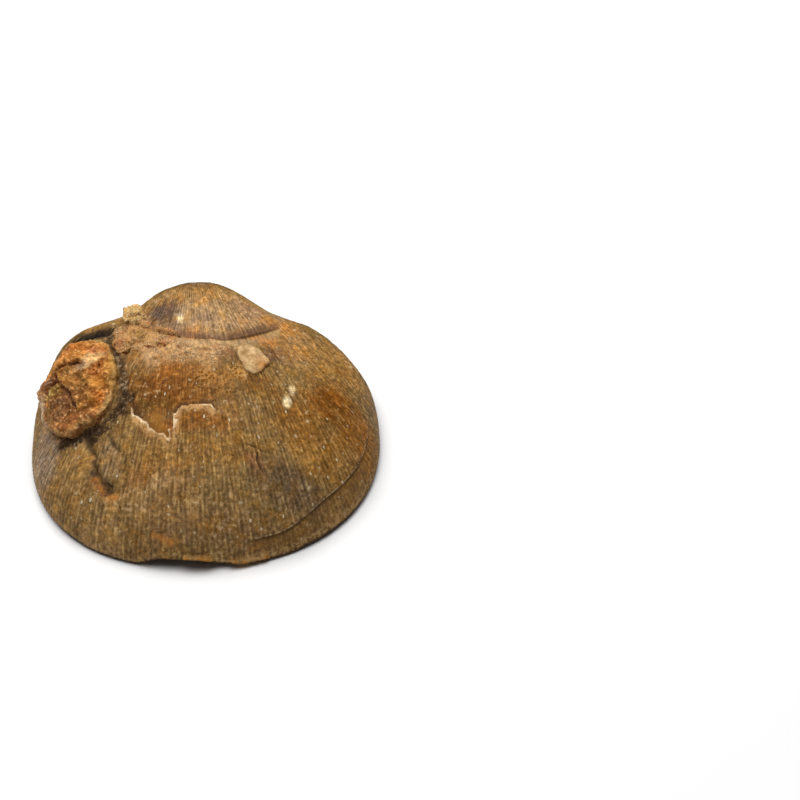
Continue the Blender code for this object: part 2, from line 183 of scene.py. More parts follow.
def outward(points):
    """Unit vectors square to a closed clockwise outline."""
    along = np.roll(points, -1, axis=0) - np.roll(points, 1, axis=0)
    square = np.stack([-along[:, 1], along[:, 0]], axis=-1)
    return square / np.linalg.norm(square, axis=1, keepdims=True)


def beak_distance(x, y):
    return np.hypot(x - BEAK[0], y - BEAK[1])


def lip_radius(x):
    return LIP_RADIUS + LIP_SLANT * np.clip(x - BEAK[0], -9, 5.5)


def umbo_height(x, y):
    behind_lip = lip_radius(x) - beak_distance(x, y)
    swelling = UMBO_HEIGHT * smooth_step(behind_lip, 0, UMBO_LENGTH) * hump(x - UMBO_X, UMBO_HALF_WIDTH)
    step = LIP_STEP * smooth_step(behind_lip, 0, 0.4) * window(x, LIP_X - LIP_REACH, LIP_X + LIP_REACH, 5)
    return swelling + step * smooth_step(y, 4, 8)


def dome_height(x, y):
    across = np.clip(1 - (x / np.maximum(half_width(x, y), 1e-6)) ** 2, 0, 1)
    ahead = np.clip((CREST_Y - y) / (CREST_Y - FRONT_Y), 0, 1)
    reach = WIDEST_Y + BACK_REACH - BACK_BOW * (x / 20) ** 2 - CREST_Y
    behind = np.clip((y - CREST_Y) / reach, 0, 0.995)
    along = np.where(y < CREST_Y, 1 - ahead ** 2, 1 - behind ** 4)
    arch = (across * along) ** DOME_FULLNESS
    swelling = 0
    for middle_x, middle_y, height, size in SWELLINGS:
        swelling += height * hump(np.hypot(x - middle_x, y - middle_y), size)
    return MARGIN_Z + (CREST_HEIGHT + swelling) * arch + umbo_height(x, y)


def dome_share(ends):
    """0 on columns that run down the flat area under the beak, 1 on those that cross the dome."""
    share = smooth_step(np.abs(ends[:, 0]), *FLAT_AREA_X) + smooth_step(ends[:, 1], *FLAT_AREA_Y)
    return np.clip(share, 0, 1)


def rib_curves(ends):
    """Each column's curve: out of the beak in a fan, and square onto the margin."""
    beak = np.array(BEAK)
    reach = ends - beak
    length = np.linalg.norm(reach, axis=1, keepdims=True)
    heading = np.arctan2(reach[:, 0], -reach[:, 1])
    quarter = np.clip(np.abs(heading) / (np.pi / 2), 0, 1)
    heading = np.clip(heading * (1 + FAN_SPREAD * quarter * (1 - quarter)), -FAN_LIMIT, FAN_LIMIT)
    start = np.stack([np.sin(heading), -np.cos(heading)], axis=-1)
    on_dome = dome_share(ends)[:, None]
    straight = reach / length
    leave = beak + LEAVING * length * (start * on_dome + straight * (1 - on_dome))
    square = on_dome * (0.25 + 0.75 * smooth_step(ends[:, 1], -16, -3))[:, None]
    arrive = ends - ARRIVING * length * (outward(ends) * square + straight * (1 - square))
    t = np.linspace(0, 1, PATH_POINTS)[None, :, None]
    stops = [part[:, None, :] for part in (np.broadcast_to(beak, ends.shape), leave, arrive, ends)]
    weights = ((1 - t) ** 3, 3 * (1 - t) ** 2 * t, 3 * (1 - t) * t ** 2, t ** 3)
    paths = sum(weight * stop for weight, stop in zip(weights, stops))
    dome = dome_height(paths[..., 0], paths[..., 1])
    beak_z = dome_height(np.array(BEAK[0]), np.array(BEAK[1]))
    hinge_area = beak_z + (MARGIN_Z - beak_z) * t[..., 0] ** 0.85
    heights = dome * on_dome + hinge_area * (1 - on_dome)
    return np.concatenate([paths, heights[..., None]], axis=-1)


def share_at(values, shares, target):
    """The share of a column at which its values reach the target."""
    return np.interp(target, np.maximum.accumulate(values), shares)


def beside(lip, band, gap):
    return 0, lip - gap, lip + gap, band - gap, band + gap, 1


def growth_lines(ends, shares):
    """Rows of dome points, drawn onto the lip and the last band, and their distances out."""
    curves = rib_curves(ends)
    steps = np.linalg.norm(np.diff(curves, axis=1), axis=2)
    rows = np.zeros((len(shares), len(ends), 3))
    distances = np.zeros((len(shares), len(ends)))
    nominal = beside(LIP_SHARE, BAND_SHARE, BESIDE)
    for j in range(len(ends)):
        length = np.concatenate([[0], np.cumsum(steps[j])])
        along = length / length[-1]
        radius = beak_distance(curves[j, :, 0], curves[j, :, 1])
        at_lip = np.minimum(lip_radius(curves[j, :, 0]), 0.62 * radius[-1])
        lip = share_at(radius - at_lip, along, 0)
        width = BAND_WIDTH - BAND_NARROWING * (1 - smooth_step(ends[j, 0], 12, 22))
        band = 1 - min(width / length[-1], 0.14)
        placed = np.interp(shares, nominal, beside(lip, band, DRAWN_CLOSE))
        distances[:, j] = placed * length[-1]
        for axis in range(3):
            rows[:, j, axis] = np.interp(placed, along, curves[j, :, axis])
    return rows, distances


def surface_normals(rows):
    along = np.gradient(rows, axis=0)
    round_it = np.roll(rows, -1, axis=1) - np.roll(rows, 1, axis=1)
    normals = np.cross(along, round_it)
    normals /= np.maximum(np.linalg.norm(normals, axis=2, keepdims=True), 1e-9)
    return normals * np.where(normals[..., 2:].mean() < 0, -1, 1)


def plan_line(across, radius):
    """Points in plan, given by their sideways place and distance from the beak."""
    across, radius = np.array(across), np.array(radius)
    return list(zip(across, BEAK[1] - np.sqrt(radius ** 2 - (across - BEAK[0]) ** 2)))


def past_broken_edge(x, y, phase):
    """Distance outside the jagged edge, which steps at each rib, as the outer layer snapped off there."""
    steps = np.array([noise.noise(Vector((0.73 * np.floor(place + 0.5), 4.0, 0.0))) for place in phase])
    x = x + (0.25 + 0.4 * window(x, -5.4, -3.4, 0.8)) * grain(x, y, 1.2, 13)
    y = y + 0.25 * steps + 0.3 * grain(x, y, 1.2, 14)
    outside = beak_distance(x, y) > np.interp(x, *np.array(BROKEN_EDGE).T)
    return near_line(x, y, plan_line(*np.array(BROKEN_EDGE).T)) * np.where(outside, 1, -1)


def flaked(x, radius, past_edge):
    """1 where the outer layer of shell is gone: from the lip to the jagged edge."""
    fade = smooth_step(radius - lip_radius(x), 0.5, 7)
    return (past_edge < 0) * fade * window(x, *BARE_X, 1.5)


def foot_share(ends):
    nearest = [np.hypot(ends[:, 0] - x, ends[:, 1] - y) for x, y in FEET]
    return 1 - smooth_step(np.min(nearest, axis=0), FOOT_HALF_LENGTH, FOOT_HALF_LENGTH + 2.5)


def margin_lift(ends):
    arch = smooth_step(ends[:, 0], *ARCH_LEFT) * (1 - smooth_step(ends[:, 0], *ARCH_RIGHT))
    at_front = smooth_step(ends[:, 1], *ARCH_Y)
    return FOOT_LIFT * (1 - foot_share(ends)) + ARCH_HEIGHT * arch * at_front


def rib_wave(phase, share):
    """Ribs across the columns. A finer one rises in each groove as the shell widens, twice."""
    uneven = np.array([noise.noise(Vector((0.5 * place, 2.0, 0.0))) for place in phase])[None, :]
    first = smooth_step(share + 0.05 * uneven, 0.10, 0.20)
    second = smooth_step(share + 0.16 * uneven, 0.36, 0.50)
    wide, middling, fine = (np.cos(2 * np.pi * phase / ribs)[None, :] for ribs in (4, 2, 1))
    return wide * (1 - first) + first * (middling * (1 - second) + fine * second)


def columns_round():
    """Shares of the outline: close together at the ribs, and far apart along the hinge."""
    first, last = round(HINGE_GAP * RIBS), round((1 - HINGE_GAP) * RIBS)
    ribbed = np.arange(first * COLUMNS_PER_RIB, last * COLUMNS_PER_RIB + 1) / (RIBS * COLUMNS_PER_RIB)
    half = np.linspace(0, ribbed[0], HINGE_COLUMNS // 2 + 1)[:-1]
    return np.concatenate([half, ribbed, (1 - half)[::-1]])


# Lines scored into the shell: depth, half width, how they wander (how far, how often, which seed) and their
# points in plan. Those without depth are only colour: the pale lines are painted glints, the others stains.
STRAIGHT = (0, 1, 0)
SCORES = {
    "slot": (1.6, 0.9, STRAIGHT, [
        ((-23.4, 9.6), (-21.4, 10.9), (-19.4, 11.7), (-17.6, 12.2), (-16, 12))]),
    "groove": (0.5, 0.7, (0.7, 0.6, 16), [
        ((-15.2, 9.6), (-14.8, 7.6), (-14.2, 5.6), (-13.7, 3), (-13.3, 0.4), (-13, -1.4))]),
    "crack": (0.2, 0.12, (0.12, 1.5, 18), [
        ((-15, -2.3), (-13.4, -2.4), (-12.1, -2.8), (-11.4, -3.8)),
        ((7.6, -13.2), (9.3, -13.6), (10.2, -13.9), (11.6, -13.8)),
        ((9.2, -14.2), (9, -15.4), (9.5, -16.2), (10.1, -16.9))]),
    "pit_side": (0.7, 0.5, (0.5, 0.8, 20), [
        ((-19.2, -7.9), (-18.6, -10.7), (-18.1, -13.3), (-17.3, -15.5), (-15.8, -17.2))]),
    "far_side": (0.45, 0.35, (0.3, 0.8, 20), [
        ((-15.8, -17.2), (-14.3, -18), (-13, -17.8), (-12.3, -16.4), (-12.7, -14.4))]),
    "crease": (0.35, 0.25, STRAIGHT, [((-15.6, -9.4), (-14.6, -11.4), (-13, -13))]),
    "pit_end": (0, 0.24, STRAIGHT, [((-18.1, -14.9), (-16.8, -16.9), (-15.4, -18.1), (-14.2, -18.5))]),
    "nick": (0.3, 0.16, STRAIGHT, [((-8.6, -23.2), (-6.8, -23.9), (-5, -24.6))]),
    "nick_face": (0, 0.2, STRAIGHT, [((-8.4, -23.7), (-6.8, -24.3), (-5.2, -24.9))]),
    "pale": (0, 0.4, (0.8, 0.7, 28), [
        ((2.2, -23.8), (5.4, -22.9), (8, -22)), ((-12.3, -20.4), (-6, -20.8), (-0.4, -21)),
        ((-3.6, -13), (-2.4, -13.8), (-0.6, -13.9)), ((9.8, -18.6), (11.6, -19.6), (13, -21))]),
}
SLOT_RIDGE_AT, SLOT_RIDGE_SIZE, SLOT_RIDGE_HEIGHT = (-21.8, 12.2), 4, 0.9
SOOT_LINE = ((-12.5, -3.3), (-13.2, -5.6), (-15.2, -7.2), (-17.4, -7.8), (-19.6, -7.7), (-23, -6.4))
ROUGH_LINE = ((-12.6, 10.6), (-10.4, 8.6), (-8, 6), (-4.6, 4.8), (-1.4, 3.6), (2.6, 3))
SOOT_REACH, ROUGH_REACH = 1.8, 3.4
PITTED_X, PITTED_Y = (-1, 6.4), (-4.2, 0.4)
LIP_SHADE_X, LIP_SHADE_Y = (-4, 13.5), 3
CHIP_EDGE = ((-9.3, 34.4), (-8.7, 33.4), (-7.4, 33), (-6.8, 33.4), (-5.9, 34.7), (-5, 35.5))


def scored(x, y, half_width, wander, lines):
    """Soft lines over the plan, which stray from their points by a smooth noise."""
    amount, rate, seed = wander
    stray = amount * grain(x, y, rate, seed)
    return sum(hump(near_line(x, y, line) + stray, half_width) for line in lines)


def closed(values, axis=0):
    """The first column again after the last one."""
    return np.concatenate([values, np.take(values, [0], axis)], axis)


turns = columns_round()
ends = closed(margin_points(turns[:-1]))
rib_phase = turns * RIBS
dome_rows = np.concatenate([
    np.linspace(0, LIP_SHARE - BESIDE, 22), np.linspace(LIP_SHARE + BESIDE, 0.53, 12)[:-1],
    np.linspace(0.53, 0.72, 43)[:-1], np.linspace(0.72, BAND_SHARE - BESIDE, 20),
    np.linspace(BAND_SHARE + BESIDE, 1, 12),
])
FAR_INSIDE = -9.0  # a distance mark's value where its edge doesn't run


def shell_relief(rows, distance, share):
    """How far the shell stands out from its even form, and marks for its colours."""
    x, y = rows[..., 0], rows[..., 1]
    radius = beak_distance(x, y)
    past_edge = past_broken_edge(x, y, rib_phase)
    bare = flaked(x, radius, past_edge)
    chip_x, chip_radius = np.array(CHIP_EDGE).T
    chip = smooth_step(radius - np.interp(x, chip_x, chip_radius) + 0.5 * grain(x, y, 1.1, 15), -0.1, 0.1)
    chip *= (x > chip_x[0]) * (x < chip_x[-1]) * (past_edge < 0)
    relief = -LAYER_THICKNESS * bare * (1 - 0.5 * chip)

    score = {name: scored(x, y, *how[1:]) for name, how in SCORES.items()}
    relief -= sum(SCORES[name][0] * cut for name, cut in score.items())
    in_pit = hump(np.hypot((x - PIT_AT[0]) / PIT_HALF_SIZE[0], (y - PIT_AT[1]) / PIT_HALF_SIZE[1]), 1.0)
    relief += in_pit * (0.35 * grain(x, y, 0.9, 27) - PIT_DEPTH)
    relief += SLOT_RIDGE_HEIGHT * hump(np.hypot(x - SLOT_RIDGE_AT[0], y - SLOT_RIDGE_AT[1]), SLOT_RIDGE_SIZE)

    soot = smooth_step(SOOT_REACH + 1.5 * grain(x, y, 0.5, 17) - near_line(x, y, SOOT_LINE), 0, 1.2)
    rough = smooth_step(ROUGH_REACH + 1.6 * grain(x, y, 0.4, 19) - near_line(x, y, ROUGH_LINE), 0, 1.8)
    ridges = 1 - 3 * np.abs(grain(x, y, 0.75, 7))
    wrinkles = 1 - 3 * np.abs(grain(x + grain(x, y, 0.8, 6), y, 1.7, 8))
    relief += soot * (0.5 * grain(x, y, 0.9, 5) - 0.2) + rough * (0.15 + 0.3 * ridges + 0.12 * wrinkles)

    relief += 0.7 * grain(x, y, 0.09, 3) + 0.12 * grain(x, y, 0.4, 1) + 0.05 * grain(x, y, 1.6, 2)
    rings = np.array([noise.noise(Vector((0.9 * out, 8.0, 0.0))) for out in distance.flat])
    relief += 0.07 * np.reshape(rings, x.shape) * smooth_step(distance, 8, 30)
    in_lip_shade = (y > LIP_SHADE_Y) & (x > LIP_SHADE_X[0]) & (x < LIP_SHADE_X[1])
    marks = {
        "bare": bare * (1 - chip),
        "past_edge": past_edge,
        # How strongly the painted highlight and painted shadow show along each stretch of the broken edge.
        "edge_light_share": sum(fresh * window(x, low, high, soft) for low, high, soft, fresh in EDGE_LIGHT_SPANS),
        "chip": chip,
        "behind_lip": np.where(in_lip_shade, lip_radius(x) - radius, FAR_INSIDE),
        "crystals": score["groove"],
        "soot": soot,
        # Dark cracks, with the slot behind the crust painted black as shadow.
        "crack": np.clip(score["crack"] + 1.8 * score["slot"] + 0.6 * score["nick"], 0, 1),
        # Painted shade on the pit's walls and in the crease beside it.
        "pit_side": np.clip(score["pit_side"] + 0.6 * score["far_side"] + 0.7 * score["crease"], 0, 1),
        "rust": np.clip(score["pit_end"] + 0.6 * score["nick_face"], 0, 1),
        "rough": rough,
        # Painted glints along a few ridges low on the dome.
        "pale": score["pale"],
        "pitted": window(x, *PITTED_X, 1.5) * window(y, *PITTED_Y, 1.6),
    }
    return relief * (1 - share ** 12), marks


def shape(bm, places, marks, spots):
    """Moves each vertex to its place and writes its marks. A spot is its index in both."""
    layers = {mark: bm.verts.layers.float.new(mark) for mark in marks}
    for vert, spot in zip(bm.verts, spots):
        for mark, layer in layers.items():
            vert[layer] = marks[mark][spot]
        x, y, z = places[spot]
        vert.co = (x * MM, (y - BOX_MIDDLE_Y) * MM, z * MM)


def linked(name, data):
    made = bpy.data.objects.new(name, data)
    bpy.context.scene.collection.objects.link(made)
    return made


def piece_from(bm, name):
    """The finished mesh as a smooth piece of the scene."""
    mesh = bpy.data.meshes.new(name)
    bm.to_mesh(mesh)
    bm.free()
    mesh.shade_smooth()
    return linked(name, mesh)


def valve_object(name, places, marks):
    """A closed skin from a grid of rows, with its ends drawn together at the beaks."""
    rows, columns = places.shape[:2]
    bm = bmesh.new()
    bm.loops.layers.uv.new("round")
    bmesh.ops.create_grid(bm, x_segments=columns - 1, y_segments=rows - 1, size=1, calc_uvs=True)
    grid = np.array([(vert.co.y + 1, vert.co.x + 1) for vert in bm.verts]) / 2
    spots = np.rint(grid * (rows - 1, columns - 1)).astype(int)
    shape(bm, places, marks, map(tuple, spots))
    bmesh.ops.remove_doubles(bm, verts=bm.verts, dist=1e-7)
    bmesh.ops.recalc_face_normals(bm, faces=bm.faces)
    return piece_from(bm, name)


shares = dome_rows[:, None]
row_at_band = int(np.searchsorted(dome_rows, BAND_SHARE))
dome, distance = (closed(values, 1) for values in growth_lines(ends[:-1], dome_rows))
dome[..., 2] += margin_lift(ends) * shares ** 8
relief, marks = shell_relief(dome, distance, shares)
x, y = dome[..., 0], dome[..., 1]
outside_band = (shares > BAND_SHARE) * (1 - 0.6 * shares ** 20) * window(x, *BAND_X, 3) * (y < 0)
relief -= BAND_STEP * outside_band
ribs = rib_wave(rib_phase, shares) * dome_share(ends) * smooth_step(shares, 0, 0.06)
worn = 1 - 0.55 * marks["bare"] - 0.5 * marks["rough"]
relief += RIB_HEIGHT * ribs * worn * (0.8 + 0.6 * grain(x, y, 0.15, 9))
flared = sum(window(x, *flare) for flare in FLARES) * (y < -15)
relief += flared * (0.5 * smooth_step(shares, FLARE_SHARE, 1) - 0.25 * window(shares, 0.966, 0.974, 0.008))
dome += closed(surface_normals(dome[:, :-1]), 1) * relief[..., None]
marks["rib"] = ribs * worn
marks["out"] = distance
marks["band"] = outside_band
marks["flared"] = flared * smooth_step(shares, FLARE_SHARE, 0.99)
# A painted highlight along the rim's edge, stronger on the right flank.
marks["rim"] = smooth_step(shares, 0.975, 0.988) * (0.5 + 0.5 * window(x, *RIM_HIGHLIGHT_X, 3))
beside_band = window(x, *BAND_X, 1.5) * (y < 0) > 0.5
marks["past_band"] = np.where(beside_band, distance - distance[row_at_band], FAR_INSIDE)

# Round the margin onto the foot, and back inside over the hollow, where nothing shows.
ROLL = ((0.02, 0.8), (0.1, 0.55), (0.27, 0.3), (0.5, 0.12), (0.9, 0.0), (1.5, 0.0), (2.1, 0.0), (2.5, 0.25))
INNER_ROWS = (0.08, 0.2, 0.4, 0.6, 0.8, 1.0)
UNDER_BEAK = (-1.0, 19.4)
HOLLOW_DEPTH = 7.0
HOLLOW_CREST_Y = 2.0
HOLLOW_ROOF = 0.9  # how far the hidden inner side stays above the lower valve


def hollow_height(x, y):
    inset = MARGIN_INSET + FOOT_WIDTH
    across = np.clip(1 - (x / np.maximum(half_width(x, y) - inset, 1e-6)) ** 2, 0, 1)
    ahead = np.clip((HOLLOW_CREST_Y - y) / (HOLLOW_CREST_Y - FRONT_Y - inset), 0, 1)
    behind = np.clip((y - HOLLOW_CREST_Y) / (UNDER_BEAK[1] + 1.2 - HOLLOW_CREST_Y), 0, 1)
    along = np.where(y < HOLLOW_CREST_Y, 1 - ahead ** 2, 1 - behind ** 2)
    return HOLLOW_DEPTH * (across * along) ** 0.75


inward = closed(-outward(ends[:-1]))
rim_lift = margin_lift(ends)
rolled = []
for inset, height in ROLL:
    crenels = 0.5 * RIB_HEIGHT * rib_wave(rib_phase, np.array([[1.0]]))[0] * dome_share(ends) * (height > 0)
    place = ends + (inset - crenels)[:, None] * inward
    rolled.append(np.column_stack([place, height + rim_lift]))
for share in INNER_ROWS:
    place = rolled[len(ROLL) - 1][:, :2] * (1 - share) + share * np.array(UNDER_BEAK)
    height = hollow_height(place[:, 0], place[:, 1]) + HOLLOW_ROOF + 0.6 * rim_lift * (1 - share)
    rolled.append(np.column_stack([place, height]))
rolled = closed(np.array(rolled)[:, :-1], 1)


def with_rim(mark, rim_value):
    """A mark's rows on the dome, and one value for the rows under it."""
    below = np.broadcast_to(rim_value, (len(rolled), mark.shape[1]))
    return np.concatenate([mark, below])


upper_marks = {mark: with_rim(values, values[-1]) for mark, values in marks.items()}
upper_marks["out"] = with_rim(marks["out"], marks["out"][-1] + 1.0)
# The rows under the margin, which the material darkens as painted shade in the gap beneath the shell.
upper_marks["under"] = np.concatenate([np.zeros_like(distance), np.ones((len(rolled), len(ends)))])
for mark in ("rim", "flared"):
    upper_marks[mark][len(dome) + 1:] = 0


def tone(red, green, blue):
    """A screen colour as the light it reflects."""
    return tuple(((c / 255 + 0.055) / 1.055) ** 2.4 if c > 10 else c / 3294.6 for c in (red, green, blue))


# Stains in the stone: place in plan, half sizes, screen colour and strength.
OLIVE_BROWN = (136, 106, 62)
STAINS = (
    (-0.5, 14.8, 8, 3.6, (170, 132, 84), 0.9),
    (-0.5, 10, 7.5, 2.6, (194, 160, 116), 0.85),
    (-1.5, 21, 9, 4.6, (102, 74, 32), 0.9),
    (2, 8.6, 6, 2.4, (168, 136, 102), 0.75),
    (9.5, 13, 4, 3.5, (160, 126, 92), 0.75),
    (-6.8, 12.2, 3, 2.5, (94, 74, 64), 0.9),
    (-4.6, 9, 1.8, 1.6, (118, 92, 74), 0.7),
    (-3.2, 6.4, 3.2, 0.8, (188, 124, 60), 0.7),
    (3.4, 4.2, 5, 1.6, (174, 138, 92), 0.85),
    (-7, 4.5, 5, 2.6, (192, 146, 100), 0.85),
    (-11, 8.5, 3, 3.5, (164, 116, 62), 0.8),
    (-11.5, 1.5, 2.4, 4, (112, 80, 40), 0.7),
    (-3.5, -3, 8, 4.6, (116, 68, 8), 0.95),
    (-8.4, -5.6, 3.6, 1.6, (98, 64, 12), 0.8),
    (-2, 0.6, 4, 1.6, (160, 104, 44), 0.6),
    (3.4, -1.2, 3.6, 2, (152, 102, 42), 0.7),
    (9.5, -2.6, 3, 2, (116, 76, 26), 0.7),
    (13, 11.6, 2.6, 1.8, (188, 130, 62), 0.75),
    (11, 7.2, 3.6, 0.8, (184, 118, 54), 0.6),
    (12.4, 4.6, 1.8, 1.6, (114, 84, 62), 0.8),
    (5.4, 2.4, 1.2, 1.8, (106, 78, 46), 0.7),
    (16, 8, 3, 4.5, (166, 124, 74), 0.75),
    (23, 8, 4, 5, (170, 126, 68), 0.75),
    (22, -2, 4, 4, (124, 74, 12), 0.85),
    (26, -4.5, 2.8, 5, (148, 100, 44), 0.85),
    (16, -7, 4.6, 3.4, (124, 82, 28), 0.75),
    (20, -10.5, 4.4, 3.4, (148, 106, 50), 0.75),
    (-7, -10.6, 3, 1.4, (124, 78, 28), 0.6),
    (0.5, -9.8, 6, 1.8, (132, 82, 26), 0.8),
    (0, -14, 10, 2.6, (134, 98, 48), 0.75),
    (6, -19, 7, 3, (142, 114, 72), 0.7),
    (14, -17.6, 5, 2.6, (102, 84, 66), 0.75),
    (-7, -19, 6, 3.4, (150, 116, 74), 0.7),
    (0, -23.6, 12, 1.8, (134, 104, 68), 0.7),
    (-20, -13, 4, 5, (142, 110, 68), 0.6),
    (-14.5, -20.5, 6, 3, (148, 118, 76), 0.6),
    (-26.5, -5, 2.4, 5, (154, 134, 116), 0.7),
    (-15, -12.6, 1.8, 3.6, (130, 106, 76), 0.8),
    # Painted shadow: the black of the deep slot behind the crust's top edge.
    (-19.4, 11.8, 4.6, 1.6, (26, 20, 16), 1),
    (-10.4, -17, 2.2, 1.2, (146, 100, 60), 0.45),
    (-8, -16, 3, 1.8, (122, 84, 38), 0.4),
    (8.6, -16, 1.2, 1.2, (130, 84, 54), 0.6),
    (15.1, -2.3, 0.55, 0.8, (232, 206, 156), 0.95),
    (14.3, -4.8, 0.65, 0.9, (250, 228, 176), 0.95),
    (-3.2, 10.6, 0.6, 0.6, (250, 232, 198), 0.95),
)


def stain_colour(x, y, ground, stains):
    """The stone's colour at each point, before streaks and specks."""
    wobble_x, wobble_y = 0.9 * grain(x, y, 0.45, 11), 0.9 * grain(x, y, 0.45, 12)
    colour = np.full((*x.shape, 3), tone(*ground))
    for at_x, at_y, size_x, size_y, stain, strength in stains:
        loose = min(1.0, size_x, size_y)
        out = np.hypot((x + loose * wobble_x - at_x) / size_x, (y + loose * wobble_y - at_y) / size_y)
        cover = (strength * (1 - smooth_step(out, 0.5, 1.6)))[..., None]
        colour = colour * (1 - cover) + np.array(tone(*stain)) * cover
    return {f"stain_{name}": colour[..., channel] for channel, name in enumerate(("red", "green", "blue"))}


upper_places = np.concatenate([dome, rolled])
upper_marks.update(stain_colour(upper_places[..., 0], upper_places[..., 1], OLIVE_BROWN, STAINS))
upper_valve = valve_object("upper_valve", upper_places, upper_marks)


class Field:
    """A number or colour that varies over a surface. Sums on it become the Math nodes that work them out."""

    def __init__(self, tree, socket):
        self.tree, self.socket = tree, socket

    def node(self, kind, inputs, output=0, **settings):
        """Any other node of this material: its settings are set first, and then its sockets."""
        made = self.tree.nodes.new(kind)
        for name, value in settings.items():
            setattr(made, name, value)
        for name, value in inputs.items():
            socket = made.inputs[name]
            if isinstance(value, Field):
                self.tree.links.new(value.socket, socket)
            else:
                socket.default_value = value
        return Field(self.tree, made.outputs[output])

    def maths(self, operation, first, second=0.0):
        return self.node("ShaderNodeMath", {0: first, 1: second}, operation=operation)

    def __add__(self, other):
        return self.maths("ADD", self, other)

    def __sub__(self, other):
        return self.maths("SUBTRACT", self, other)

    def __mul__(self, other):
        return self.maths("MULTIPLY", self, other)

    def __rsub__(self, other):
        return self.maths("SUBTRACT", other, self)

    __radd__ = __add__
    __rmul__ = __mul__

    def ramp(self, low, high):
        """0 below low and 1 above high, smoothly in between."""
        limits = {"Value": self, "From Min": low, "From Max": high}
        return self.node("ShaderNodeMapRange", limits, interpolation_type="SMOOTHSTEP")

    def mix(self, below, above):
        """One field or screen colour over another, where this field is the share of the upper one."""
        below, above = (part if isinstance(part, Field) else (*tone(*part), 1) for part in (below, above))
        return self.node("ShaderNodeMix", {0: self, 6: below, 7: above}, 2, data_type="RGBA")

    def tint(self, colour, gains):
        """A colour multiplied by three gains, where this field is the share of the result."""
        colours = {0: self, 6: colour, 7: (*gains, 1)}
        return self.node("ShaderNodeMix", colours, 2, data_type="RGBA", blend_type="MULTIPLY")

    def mark(self, name):
        return self.node("ShaderNodeAttribute", {}, 2, attribute_name=name)

    def stained(self):
        """The colour that the three stain marks hold."""
        marks = {0: self.mark("stain_red"), 1: self.mark("stain_green"), 2: self.mark("stain_blue")}
        return self.node("ShaderNodeCombineColor", marks)

    def round_shell(self):
        """How far round the shell's outline each point lies."""
        return self.node("ShaderNodeSeparateXYZ", {0: self.node("ShaderNodeUVMap", {}, uv_map="round")})

    def scaled(self, gain):
        return self.node("ShaderNodeVectorMath", {0: self, "Scale": gain}, operation="SCALE")

    def vector(self, x, y):
        return self.node("ShaderNodeCombineXYZ", {0: x, 1: y})

    def noise(self, scale, detail=3, roughness=0.55):
        """Smooth noise, where this field is the place."""
        values = {"Vector": self, "Scale": scale, "Detail": detail, "Roughness": roughness}
        return self.node("ShaderNodeTexNoise", values)

    def cells(self, scale, output=0):
        """Distance from the middle of the nearest cell, where this field is the place."""
        return self.node("ShaderNodeTexVoronoi", {"Vector": self, "Scale": scale}, output)

    def cell_kinds(self, scale):
        """One random number for each of the same cells."""
        return self.node("ShaderNodeSeparateColor", {0: self.cells(scale, 1)})

    def curls(self):
        """Fine winding lines."""
        return self.maths("ABSOLUTE", self.noise(700, 2, 0.6) - 0.5).ramp(0.05, 0.01)


def layered(ground, *layers):
    """Layers of colour over a ground, each with its share of the surface."""
    for share, above in layers:
        ground = share.mix(ground, above)
    return ground


MATT = 0.06  # the specular level of dull stone


def stone_material(recipe):
    """A new material. Its recipe gives colour, roughness and height in millimetres at a place."""
    material = bpy.data.materials.new(recipe.__name__)
    material.use_nodes = True
    tree = material.node_tree
    shader = tree.nodes["Principled BSDF"]
    place = Field(tree, tree.nodes.new("ShaderNodeTexCoord").outputs["Object"])
    colour, roughness, height = recipe(place)
    bump = place.node("ShaderNodeBump", {"Strength": 1.0, "Distance": MM, "Height": height})
    tree.links.new(colour.socket, shader.inputs["Base Color"])
    tree.links.new(roughness.socket, shader.inputs["Roughness"])
    tree.links.new(bump.socket, shader.inputs["Normal"])
    shader.inputs["Specular IOR Level"].default_value = MATT
    return material


